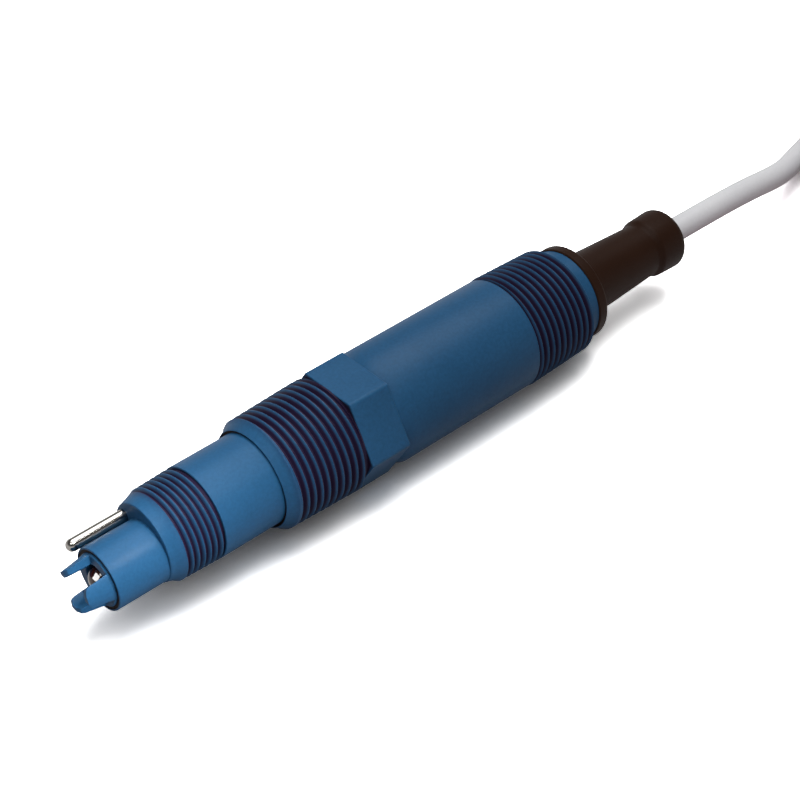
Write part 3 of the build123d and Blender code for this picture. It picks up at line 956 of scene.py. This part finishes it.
@dataclass
class RearHousing:
    """Front thread, hexagon, barrel, rear thread and spigot, in millimetres."""

    mouth: float = -26.4
    front_thread_length: float = 23.5
    front_face_radius: float = 14.285
    front_thread_radius: float = 16.15
    seal_seat_radius: float = 14.085
    seal_seat_depth: float = 1.8
    neck_bore_radius: float = 13.435
    neck_rear: float = NECK_REAR
    hex_flat_radius: float = 15.6
    hex_length: float = 13.2
    hex_corner_half_angle: float = 0.8
    barrel_radius: float = 16.7
    barrel_end: float = 63.3
    hex_ramp: float = 3.0
    rear_thread_radius: float = 17.0
    rear_thread_length: float = 22.1
    spigot_start: float = 85.5
    spigot_radius: float = 13.9
    rear_face: float = REAR_FACE
    bore_radius: float = 12.0
    thread_pitch: float = INCH / 11
    front_groove_angle: float = 60.0
    rear_crest_share: float = 0.11
    # Strength of the painted shade in the rear thread's grooves.
    rear_groove_shade_strength: float = 0.85
    edge: float = 0.18
    steps: int = 144
    sides: int = 6

    def threads(self) -> tuple[TaperThread, TaperThread]:
        """The front and the rear thread.

        Returns:
            Both threads, the front one first.
        """
        front = TaperThread(
            start=-self.front_thread_length,
            length=self.front_thread_length,
            start_radius=self.front_thread_radius,
            slope=THREAD_TAPER,
            pitch=self.thread_pitch,
            start_angle=self.front_groove_angle,
        )
        rear = TaperThread(
            start=self.barrel_end,
            length=self.rear_thread_length,
            start_radius=self.rear_thread_radius,
            slope=-THREAD_TAPER,
            pitch=self.thread_pitch,
            fade_in=0.0,
            reliefs=(True, False),
            crest_share=self.rear_crest_share,
            groove_shade_strength=self.rear_groove_shade_strength,
        )
        return front, rear

    def angles(self) -> np.ndarray:
        """Columns of the skin: even steps, with a narrow pair in place of each hexagon corner.

        Returns:
            Angles in radians, from the first column to the same one a full turn on.
        """
        even = np.linspace(0.0, 360.0, self.steps, endpoint=False)
        corners = np.arange(self.sides) * 360.0 / self.sides
        half = self.hex_corner_half_angle
        to_corner = np.abs((even[:, None] - corners + 180) % 360 - 180).min(axis=1)
        pairs = [corner + side * half for corner in corners for side in (-1, 1)]
        columns = np.sort(np.append(even[to_corner > half], pairs) + half)
        return np.radians(np.append(columns, columns[0] + 360.0) - half)

    def hexagon(self, angles: np.ndarray) -> np.ndarray:
        """Radius of the hexagon's outline at each angle.

        Args:
            angles: Angles in radians.

        Returns:
            Radii in millimetres.
        """
        side = FULL_TURN / self.sides
        from_flat = (angles % side) - side / 2
        return self.hex_flat_radius / np.cos(from_flat)

    def build(self, axis: AxisFrame) -> bpy.types.Object:
        """Roll the housing's whole skin, bores included.

        Args:
            axis: The electrode's axis.

        Returns:
            The finished mesh object.
        """
        angles = self.angles()
        front, rear = self.threads()
        hexagon = self.hexagon(angles)
        edge = self.edge
        rings = [
            Ring(self.mouth, self.seal_seat_radius),
            Ring(self.mouth, self.front_face_radius - edge / 2),
            Ring(self.mouth + edge, self.front_face_radius + edge / 2),
            front.lead(self.mouth, self.front_face_radius),
            *front.rings(angles),
            Ring(0.0, hexagon - edge),
            Ring(edge, hexagon),
            Ring(self.hex_length - edge, hexagon),
            Ring(self.hex_length, hexagon - edge),
            Ring(self.hex_length, self.hex_flat_radius - edge),
            Ring(self.hex_length + self.hex_ramp, self.barrel_radius),
            Ring(self.barrel_end - edge, self.barrel_radius),
            Ring(self.barrel_end, self.barrel_radius - edge),
            *rear.rings(angles),
            Ring(self.spigot_start, self.spigot_radius),
            Ring(self.rear_face, self.spigot_radius),
            Ring(self.rear_face, self.bore_radius),
            Ring(self.neck_rear, self.bore_radius),
            Ring(self.neck_rear, self.neck_bore_radius),
            Ring(self.mouth + self.seal_seat_depth, self.neck_bore_radius),
            Ring(self.mouth + self.seal_seat_depth, self.seal_seat_radius),
            Ring(self.mouth, self.seal_seat_radius),
        ]
        return roll_skin("rear_housing_shape", axis, angles, rings)


@dataclass
class StrainBoot:
    """Rubber boot with a flange, a tapered barrel and an end collar, in millimetres."""

    front: float = REAR_FACE
    flange_radius: float = 14.4
    flange_thickness: float = 3.5
    flange_edge: float = 0.3
    flange_round: float = 0.9
    flange_steps: int = 6
    base_radius: float = 9.5
    waist_radius: float = 8.1
    ramp_start: float = 121.5
    ramp_end: float = 124.0
    ramp_steps: int = 10
    collar_foot_radius: float = 9.05
    collar_radius: float = 9.3
    collar_round: float = 2.6
    collar_steps: int = 10
    foot_round: float = 1.2
    foot_steps: int = 5
    end: float = 133.3
    hole_radius: float = 3.85
    mouth_round: float = 0.5
    mouth_steps: int = 4
    steps: int = 128

    def profile(self) -> Profile:
        """Outline of the boot's section, closed.

        Returns:
            Points of station and radius.
        """
        flange_rear = self.front + self.flange_thickness
        flange = (flange_rear - self.flange_round, self.flange_radius - self.flange_round)
        foot = (flange_rear + self.foot_round, self.base_radius + self.foot_round)
        collar = (self.end - self.collar_round, self.collar_radius - self.collar_round)
        mouth = (self.end - self.mouth_round, self.hole_radius + self.mouth_round)
        rise = [
            (
                between(self.ramp_start, self.ramp_end, share),
                between(self.waist_radius, self.collar_foot_radius, float(smoothstep(share))),
            )
            for share in np.linspace(0.0, 1.0, self.ramp_steps + 1)
        ]
        return [
            (self.front, self.hole_radius),
            (self.front, self.flange_radius - self.flange_edge),
            (self.front + self.flange_edge, self.flange_radius),
            *arc(flange, self.flange_round, 90, 0, self.flange_steps),
            *arc(foot, self.foot_round, 180, 270, self.foot_steps),
            *rise,
            *arc(collar, self.collar_round, 90, 0, self.collar_steps),
            *arc(mouth, self.mouth_round, 0, -90, self.mouth_steps),
            (self.front, self.hole_radius),
        ]

    def build(self, axis: AxisFrame) -> bpy.types.Object:
        """Spin the boot's section."""
        return turn_profile("strain_boot_shape", axis, (0.0, 0.0), self.profile(), self.steps)


@dataclass
class GroundRod:
    """Polished rod with a round tip, plain as far as the chamber's wall, in millimetres."""

    tip: float = -79.1
    radius: float = 1.75
    wall: float = CHAMBER_WALL
    centre: Point2 = ROD_CENTRE
    tip_steps: int = 14
    steps: int = 64

    def build(self, axis: AxisFrame) -> bpy.types.Object:
        """Spin the rod's outline.

        Args:
            axis: The electrode's axis.

        Returns:
            The finished mesh object.
        """
        tip = arc((self.tip + self.radius, 0.0), self.radius, 180, 90, self.tip_steps)
        profile = [*tip, (self.wall, self.radius), (self.wall, 0.0)]
        return turn_profile("ground_rod_shape", axis, self.centre, profile, self.steps)


@dataclass
class GlassElectrode:
    """Blown bulb on a glass stem, in millimetres."""

    bulb_centre: float = -75.5
    bulb_radius: float = 3.6
    stem_radius: float = 2.9
    glass_wall: float = 0.6
    stem_rear: float = -32.0
    centre: Point2 = NOSE_CENTRE
    bulb_steps: int = 28
    steps: int = 72

    def build(self, axis: AxisFrame) -> bpy.types.Object:
        """Spin the outer and inner outlines as one closed wall.

        Args:
            axis: The electrode's axis.

        Returns:
            The finished mesh object.
        """
        inner_radius = self.bulb_radius - self.glass_wall
        bore = self.stem_radius - self.glass_wall
        outer_end = math.degrees(math.asin(self.stem_radius / self.bulb_radius))
        inner_end = math.degrees(math.asin(bore / inner_radius))
        outside = arc((self.bulb_centre, 0.0), self.bulb_radius, 180, outer_end, self.bulb_steps)
        inside = arc((self.bulb_centre, 0.0), inner_radius, inner_end, 180, self.bulb_steps)
        rear = [(self.stem_rear, self.stem_radius), (self.stem_rear, bore)]
        profile = [*outside, *rear, *inside]
        return turn_profile("glass_electrode_shape", axis, self.centre, profile, self.steps)


@dataclass
class GuardCrown:
    """Disc and shank with three prongs round the bulb, in millimetres."""

    face: float = -77.1
    tip: float = -84.0
    seat: float = CROWN_SEAT
    rear: float = -62.6
    disc_radius: float = 7.5
    shank_radius: float = 6.3
    bore_radius: float = 4.5
    edge: float = 0.25
    prong_count: int = 3
    prong_angle: float = 40.0
    base_width: float = 6.6
    tip_width: float = 5.0
    tip_round: float = 1.7
    base_radii: Point2 = (4.8, 7.4)
    tip_radii: Point2 = (5.0, 6.4)
    root_depth: float = 0.8
    cuts: int = 11
    bevel: float = 0.35
    bevel_segments: int = 3
    bevel_from_angle: float = 50.0
    centre: Point2 = NOSE_CENTRE
    steps: int = 96

    def socket(self, axis: AxisFrame) -> bpy.types.Object:
        """Spin the disc and the shank.

        Args:
            axis: The electrode's axis.

        Returns:
            The mesh object that the prongs are joined to.
        """
        edge = self.edge
        profile = [
            (self.face + edge, self.bore_radius),
            (self.face, self.bore_radius + edge),
            (self.face, self.disc_radius - edge),
            (self.face + edge, self.disc_radius),
            (self.seat, self.disc_radius),
            (self.seat, self.shank_radius),
            (self.rear, self.shank_radius),
            (self.rear, self.bore_radius),
            (self.face + edge, self.bore_radius),
        ]
        return turn_profile("guard_crown_shape", axis, self.centre, profile, self.steps)

    def prong(self, axis: AxisFrame, index: int) -> bpy.types.Object:
        """Shape one prong from a subdivided cube and round its edges.

        Args:
            axis: The electrode's axis.
            index: Number of the prong.

        Returns:
            The prong's mesh object.
        """
        piece = start_piece(f"prong_{index + 1}", lambda: bpy.ops.mesh.primitive_cube_add(size=2))
        bpy.ops.object.mode_set(mode="EDIT")
        bpy.ops.mesh.select_all(action="SELECT")
        bpy.ops.mesh.subdivide(number_cuts=self.cuts)
        bpy.ops.object.mode_set(mode="OBJECT")
        flat = np.empty(len(piece.data.vertices) * 3)
        piece.data.vertices.foreach_get("co", flat)
        unit = flat.reshape(-1, 3)
        along = (1.0 - unit[:, 0]) / 2
        root = self.face + self.root_depth
        station = between(root, self.tip, along)
        width = between(self.base_width, self.tip_width, along)
        to_tip = np.clip((self.tip_round - (station - self.tip)) / self.tip_round, 0.0, 1.0)
        half = width / 2 - self.tip_round * (1.0 - np.sqrt(1.0 - to_tip**2))
        inner, outer = (between(*radii, along) for radii in zip(self.base_radii, self.tip_radii))
        radius = inner + (outer - inner) * (unit[:, 2] + 1) / 2
        mean = (inner + outer) / 2
        angle = math.radians(self.prong_angle + index * 360 / self.prong_count) + unit[:, 1] * half / mean
        across = self.centre[0] + radius * np.cos(angle)
        up = self.centre[1] + radius * np.sin(angle)
        piece.data.vertices.foreach_set("co", axis.place(station, across, up).ravel())
        piece.data.update()
        rounding = piece.modifiers.new("rounding", "BEVEL")
        rounding.width = self.bevel * MM
        rounding.segments = self.bevel_segments
        rounding.limit_method = "ANGLE"
        rounding.angle_limit = math.radians(self.bevel_from_angle)
        bpy.ops.object.modifier_apply(modifier=rounding.name)
        close_skin(piece)
        return piece

    def build(self, axis: AxisFrame) -> bpy.types.Object:
        """Make the socket and its prongs and join them.

        Args:
            axis: The electrode's axis.

        Returns:
            The finished mesh object.
        """
        socket = self.socket(axis)
        prongs = [self.prong(axis, index) for index in range(self.prong_count)]
        bpy.ops.object.select_all(action="DESELECT")
        for prong in prongs:
            prong.select_set(True)
        socket.select_set(True)
        bpy.context.view_layer.objects.active = socket
        bpy.ops.object.join()
        return socket


@dataclass
class Cable:
    """The free cable with its put-away hank, its end sleeve and its leads, in millimetres."""

    radius: float = 3.75
    length: float = 3000.0
    section_steps: int = 6
    line_steps: int = 8
    boot_grip: float = 12.0
    straight_out: float = 12.0
    route: tuple[Point3, ...] = (
        (36.0, 0.0, 16.4),
        (58.0, 2.2, 11.8),
        (76.0, 9.6, 6.6),
        (90.0, 14.0, 4.95),
        (102.7, 14.6, 4.95),
    )
    hank_from_boot: float = 144.7
    hank_shift: float = -15.4
    hank_straight: float = 72.0
    fold_radius: float = 22.5
    layers: int = 5
    inner_turns: int = 4
    tie_thickness: float = 1.2
    fold_points: int = 6
    tail_route: tuple[Point2, ...] = ((-33.0, 14.5), (-17.0, 14.0), (-2.0, 14.0))
    tail_height: float = 4.45
    sleeve_length: float = 14.0
    sleeve_overlap: float = 4.0
    lead_radius: float = 0.65
    lead_circle: float = 1.8
    lead_first_angle: float = 90.0
    lead_floor: float = 0.95
    lead_spread: tuple[float, ...] = (3.5, -8.0, -2.0, 8.5, 13.0)
    lead_reach: float = 30.0
    lead_straight: float = 0.2
    lead_steps: tuple[float, ...] = (0.5, 0.8, 1.0)
    lead_fan_power: float = 1.6
    lead_drop_rate: float = 1.3
    lead_slots: tuple[Slot, ...] = (
        Slot.LEAD_CLEAR,
        Slot.LEAD_BLACK,
        Slot.LEAD_RED,
        Slot.LEAD_WHITE,
        Slot.LEAD_GREEN,
    )

    @property
    def diameter(self) -> float:
        """Outer diameter."""
        return 2 * self.radius

    def boot_mouth(self) -> Vector:
        """The point where the cable leaves the boot, in millimetres."""
        low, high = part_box("strain_boot")
        return Vector((high.x, (low.y + high.y) / 2, (low.z + high.z) / 2)) / MM

    def fold(self, side: int, radius: Point2, height: Point2) -> list[Point3]:
        """Control points of one half turn about an end of the hank.

        Args:
            side: 1 for the fold far from the electrode, -1 for the near one.
            radius: Radius of the cable's line before and after the fold.
            height: Height before and after the fold.

        Returns:
            Points about the hank's middle.
        """
        points = []
        step = math.pi / self.fold_points
        for index in range(self.fold_points):
            share = (index + 0.5) / self.fold_points
            turn = side * math.pi / 2 - (index + 0.5) * step
            eased = float(smoothstep(share))
            reach = between(*radius, eased) / math.cos(step / 2)
            x = side * self.hank_straight / 2 + reach * math.cos(turn)
            points.append((x, reach * math.sin(turn), between(*height, eased)))
        return points

    def hank_points(self) -> list[Point3]:
        """Control points of the hank's turns, from where the cable comes in to its tail.

        Returns:
            Points about the hank's middle, in millimetres.
        """
        columns = [self.fold_radius + self.diameter, self.fold_radius]
        heights = [self.tie_thickness + self.radius + layer * self.diameter for layer in range(self.layers)]
        turns = [(columns[0], height) for height in heights]
        turns += [(columns[1], height) for height in reversed(heights)][: self.inner_turns]
        ends = [*turns[1:], (self.tail_route[0][1], self.tail_height)]
        inset = self.hank_straight / 2
        points: list[Point3] = []
        for (radius, height), (next_radius, next_height) in zip(turns, ends):
            start = inset - radius * math.tan(math.pi / self.fold_points / 2)
            if points:
                points.append((-start, radius, height))
            points.append((start, radius, height))
            points += self.fold(1, (radius, radius), (height, height))
            points.append((start, -radius, height))
            points.append((-start, -radius, height))
            points += self.fold(-1, (radius, next_radius), (height, next_height))
        return points

    def line(self) -> list[Vector]:
        """Control points of the whole cable, in metres.

        Returns:
            Points from the boot's inside to the end sleeve.
        """
        mouth = self.boot_mouth()
        points = [mouth + Vector((-self.boot_grip, 0, 0)), mouth + Vector((self.straight_out, 0, 0))]
        points += [Vector((mouth.x + x, y, z)) for x, y, z in self.route]
        middle = self.hank_middle()
        points += [middle + Vector(point) for point in self.hank_points()]
        points += [middle + Vector((x, y, self.tail_height)) for x, y in self.tail_route]
        return [point * MM for point in points]

    def hank_middle(self) -> Vector:
        """The hank's middle on the floor, in millimetres."""
        return Vector((self.boot_mouth().x + self.hank_from_boot, self.hank_shift, 0))

    def lead_line(self, index: int) -> list[Vector]:
        """Control points of one lead, in metres.

        Args:
            index: Number of the lead.

        Returns:
            Points from the sleeve's mouth to the ferrule.
        """
        across, up = polar(self.lead_circle, self.lead_first_angle + index * 360 / len(self.lead_spread))
        sleeve_end = self.tail_route[-1][0] - self.sleeve_overlap + self.sleeve_length
        start_y = self.tail_route[-1][1] + across
        start_z = self.tail_height + up
        points = [(sleeve_end, start_y, start_z)]
        points.append((sleeve_end + self.lead_straight * self.lead_reach, start_y, start_z))
        for share in self.lead_steps:
            bent = (share - self.lead_straight) / (1 - self.lead_straight)
            fan = bent**self.lead_fan_power
            drop = min(1.0, self.lead_drop_rate * bent)
            y = between(start_y, self.lead_spread[index], fan)
            z = between(start_z, self.lead_floor, drop)
            points.append((sleeve_end + share * self.lead_reach, y, z))
        return [(self.hank_middle() + Vector(point)) * MM for point in points]

    def curve(self, name: str, points: Sequence[Vector], radius: float) -> bpy.types.Object:
        """One open NURBS curve with a round section.

        Args:
            name: Name of the piece.
            points: Control points in metres.
            radius: Radius of the section in metres.

        Returns:
            The curve object.
        """
        data = bpy.data.curves.new(name, "CURVE")
        data.dimensions = "3D"
        data.bevel_depth = radius
        data.bevel_resolution = self.section_steps
        data.use_fill_caps = True
        data.resolution_u = self.line_steps
        spline = data.splines.new("NURBS")
        spline.points.add(len(points) - 1)
        for point, place in zip(spline.points, points):
            point.co = (*place, 1.0)
        spline.order_u = 3
        spline.use_endpoint_u = True
        piece = bpy.data.objects.new(name, data)
        bpy.context.scene.collection.objects.link(piece)
        return piece

    def build(self, paintbox: Paintbox) -> None:
        """Args:
            paintbox: Materials by slot.
        """
        cable = self.curve("cable_run", self.line(), self.radius * MM)
        settle(cable, Slot.CABLE, paintbox, "cable", "cable_hank", "cable_tail")
        for index, slot in enumerate(self.lead_slots):
            points = self.lead_line(index)
            lead = self.curve(f"lead_run_{index + 1}", points, self.lead_radius * MM)
            settle(lead, slot, paintbox, f"lead_{index + 1}")
        LOG.info("cable and %d leads", len(self.lead_slots))


def facing(place: Sequence[float], towards: Sequence[float]) -> Matrix:
    """Placement of a camera or a lamp.

    Args:
        place: Its place in metres.
        towards: The direction that it looks in.

    Returns:
        Its matrix.
    """
    turn = Vector(towards).to_track_quat("-Z", "Y")
    return Matrix.Translation(place) @ turn.to_matrix().to_4x4()


class LampKind(Enum):
    """Kinds of lamp, with Blender's names for their lights."""

    SOFT_BOX = "AREA"
    SPOT = "SPOT"


class Reach(Enum):
    """What a lamp shines on."""

    ALL = "all"
    ALL_BUT_FLOOR = "all_but_floor"
    MIRRORED_BY_BULB = "mirrored_by_bulb"


@dataclass(frozen=True)
class Lamp:
    """One lamp of the studio.

    Attributes:
        name: Its name.
        kind: Kind of lamp.
        spread: Side of a soft box in metres, or full angle of a spot's cone in degrees.
        power: Power in watts.
        place: Place in metres.
        aim: Point in metres that it faces.
        reach: What it shines on, where a card is only mirrored by the bulb and lights nothing.
        gleams: Whether it leaves highlights.
        spot_radius: Radius of a spot's source in metres.
    """

    name: str
    kind: LampKind
    spread: float
    power: float
    place: Point3
    aim: Point3
    reach: Reach = Reach.ALL
    gleams: bool = True
    spot_radius: float = 0.05

    def light(self) -> bpy.types.Light:
        """The lamp's light: a square soft box, or a soft-edged spot.

        Returns:
            The light.
        """
        data = bpy.data.lights.new(self.name, self.kind.value)
        data.energy = self.power
        if self.kind is LampKind.SOFT_BOX:
            data.size = self.spread
        else:
            data.spot_size = math.radians(self.spread)
            data.spot_blend = 1.0
            data.shadow_soft_size = self.spot_radius
        return data

    def hang(self, floor: bpy.types.Object, bulb: bpy.types.Object) -> None:
        """Hang the lamp so that it faces its point.

        Args:
            floor: The studio's floor.
            bulb: The glass bulb.
        """
        lamp = bpy.data.objects.new(self.name, self.light())
        bpy.context.scene.collection.objects.link(lamp)
        lamp.matrix_world = facing(self.place, Vector(self.aim) - Vector(self.place))
        card = self.reach is Reach.MIRRORED_BY_BULB
        if self.reach is not Reach.ALL:
            receivers = bpy.data.collections.new(f"{self.name}_receivers")
            receivers.objects.link(bulb if card else floor)
            receivers.collection_objects[0].light_linking.link_state = "INCLUDE" if card else "EXCLUDE"
            lamp.light_linking.receiver_collection = receivers
        lamp.visible_diffuse = not card
        lamp.visible_glossy = self.gleams


LAMPS: tuple[Lamp, ...] = (
    Lamp("overhead", LampKind.SOFT_BOX, 0.8, 7.7, place=(0.22, 0.18, 1.0), aim=(0.0, 0.0, 0.0)),
    Lamp(
        "glint", LampKind.SOFT_BOX, 0.3, 2.4, place=(-0.45, -0.22, 0.92), aim=(-0.08, 0.0, 0.02),
        reach=Reach.ALL_BUT_FLOOR,
    ),
    Lamp(
        "tip", LampKind.SPOT, 20.5, 9.5, place=(-0.09, -0.4, 0.27), aim=(-0.11, 0.0, 0.012),
        reach=Reach.ALL_BUT_FLOOR, gleams=False,
    ),
    Lamp(
        "gleam", LampKind.SPOT, 20.5, 8.0, place=(-0.014, -0.216, 0.43), aim=(-0.115, 0.0, 0.012),
        reach=Reach.ALL_BUT_FLOOR,
    ),
    Lamp(
        "card", LampKind.SOFT_BOX, 0.75, 26.0, place=(-0.785, 0.08, 0.43), aim=(-0.105, 0.0, 0.015),
        reach=Reach.MIRRORED_BY_BULB,
    ),
)


@dataclass
class Studio:
    """Floor, lamps, world and camera."""

    camera_place: Point3 = (-262.25, -315.4, 360.34)
    camera_forward: Point3 = (0.5137, 0.5625, -0.6478)
    focal_length: float = 92.25
    sensor: float = 36.0
    near_clip: float = 0.01
    floor_size: float = 6.0
    floor_colour: Colour = (3.6, 3.6, 3.6, 1.0)
    # Painted contact shadow on the floor: its colour, its reach and the occlusion span that fades it out.
    painted_floor_shadow: Colour = (0.9, 0.9, 0.9, 1.0)
    painted_shadow_reach: float = 0.014
    painted_shadow_span: Point2 = (0.25, 0.7)
    floor_mirrored: Colour = (0.9, 0.9, 0.9, 1.0)
    floor_bounce: Colour = (0.36, 0.25, 0.28, 1.0)
    floor_fade: Point2 = (0.4, 1.0)
    sky_mirrored: Point2 = (1.0, 0.12)
    sky_slope: Point2 = (0.05, 0.5)
    sky_fill: float = 0.32
    lamps: tuple[Lamp, ...] = LAMPS

    def camera(self, axis: AxisFrame) -> None:
        """Set the camera where the photograph was taken from.

        Args:
            axis: The electrode's axis, which the camera's place is counted from.
        """
        data = bpy.data.cameras.new("camera")
        data.lens = self.focal_length
        data.sensor_width = self.sensor
        data.sensor_fit = "HORIZONTAL"
        data.clip_start = self.near_clip
        camera = bpy.data.objects.new("camera", data)
        bpy.context.scene.collection.objects.link(camera)
        camera.matrix_world = facing(Vector(axis.place(*self.camera_place)), self.camera_forward)
        bpy.context.scene.camera = camera

    @staticmethod
    def rays(desk: NodeDesk) -> tuple[bpy.types.NodeSocket, bpy.types.NodeSocket]:
        """Whether a ray is the camera's own, and whether it is mirrored or has gone through glass.

        Args:
            desk: Desk on the tree that the nodes go into.

        Returns:
            A socket for each of the two.
        """
        path = desk.add("ShaderNodeLightPath")
        led = desk.math("MAXIMUM", path.outputs["Is Glossy Ray"], path.outputs["Is Transmission Ray"])
        return path.outputs["Is Camera Ray"], led

    def floor(self) -> bpy.types.Object:
        """Lay the pale floor that takes the lamps' shadow, with a painted contact shadow near the object.

        Returns:
            The floor, which is no part of the object.
        """
        floor = start_piece("floor", lambda: bpy.ops.mesh.primitive_plane_add(size=self.floor_size))
        material = bpy.data.materials.new("floor")
        material.use_nodes = True
        desk = NodeDesk(material.node_tree)
        shader = desk.add("ShaderNodeBsdfDiffuse")
        direct, led = self.rays(desk)
        indirect = desk.mix(led, self.floor_bounce, self.floor_mirrored)
        # Painted shadow: an ambient occlusion node takes the floor's colour for the camera down to
        # painted_floor_shadow close to the object.
        openness = desk.add("ShaderNodeAmbientOcclusion")
        desk.feed(openness, Distance=self.painted_shadow_reach)
        clear = desk.span(openness.outputs["AO"], 0.0, 1.0, self.painted_shadow_span)
        seen = desk.mix(clear, self.painted_floor_shadow, self.floor_colour)
        desk.feed(shader, Color=desk.mix(direct, indirect, seen))
        distance = desk.add("ShaderNodeVectorMath", operation="LENGTH")
        desk.feed(distance, Vector=desk.add("ShaderNodeTexCoord").outputs["Object"])
        far = desk.span(distance.outputs["Value"], 0.0, 1.0, self.floor_fade)
        blend = desk.add("ShaderNodeMixShader")
        desk.feed(blend, Fac=desk.math("MULTIPLY", far, direct))
        desk.plug(blend.inputs[1], shader.outputs["BSDF"])
        desk.plug(blend.inputs[2], desk.add("ShaderNodeEmission").outputs["Emission"])
        desk.feed(material.node_tree.nodes["Material Output"], Surface=blend.outputs["Shader"])
        floor.data.materials.append(material)
        return floor

    def world(self) -> None:
        """Fill light from all round, with white behind for what the camera and reflections see."""
        world = bpy.data.worlds.new("studio")
        bpy.context.scene.world = world
        world.use_nodes = True
        desk = NodeDesk(world.node_tree)
        background = world.node_tree.nodes["Background"]
        background.inputs["Color"].default_value = (1.0, 1.0, 1.0, 1.0)
        direct, led = self.rays(desk)
        towards = desk.add("ShaderNodeSeparateXYZ")
        desk.feed(towards, Vector=desk.add("ShaderNodeTexCoord").outputs["Generated"])
        slope = desk.span(towards.outputs["Z"], *self.sky_mirrored, self.sky_slope)
        mirrored = desk.math("MULTIPLY", led, slope)
        plain = desk.span(led, self.sky_fill, 0.0)
        desk.feed(background, Strength=desk.math("MAXIMUM", direct, desk.math("ADD", plain, mirrored)))

    def build(self, axis: AxisFrame, bulb: bpy.types.Object) -> None:
        """Set up the whole studio.

        Args:
            axis: The electrode's axis.
            bulb: The glass bulb, which mirrors a white card.
        """
        bpy.context.scene.view_settings.view_transform = "Standard"
        self.camera(axis)
        floor = self.floor()
        self.world()
        for lamp in self.lamps:
            lamp.hang(floor, bulb)


def main() -> None:
    """Build every piece in order."""
    logging.basicConfig(level=logging.INFO, format="%(name)s: %(message)s")
    paintbox = Paintbox()
    paintbox.paint_nodes()
    rear = RearHousing()
    axis = AxisFrame.from_frame(-rear.mouth)
    Cable().build(paintbox)
    settle(FrontHousing().build(axis), Slot.HOUSING, paintbox, "front_housing")
    settle(rear.build(axis), Slot.HOUSING, paintbox, "rear_housing")
    settle(GuardCrown().build(axis), Slot.HOUSING, paintbox, "guard_crown")
    settle(GroundRod().build(axis), Slot.ROD, paintbox, "ground_rod")
    bulb = GlassElectrode().build(axis)
    settle(bulb, Slot.GLASS, paintbox, "glass_electrode")
    settle(StrainBoot().build(axis), Slot.BOOT, paintbox, "strain_boot")
    Studio().build(axis, bulb)


if __name__ == "__main__":
    main()
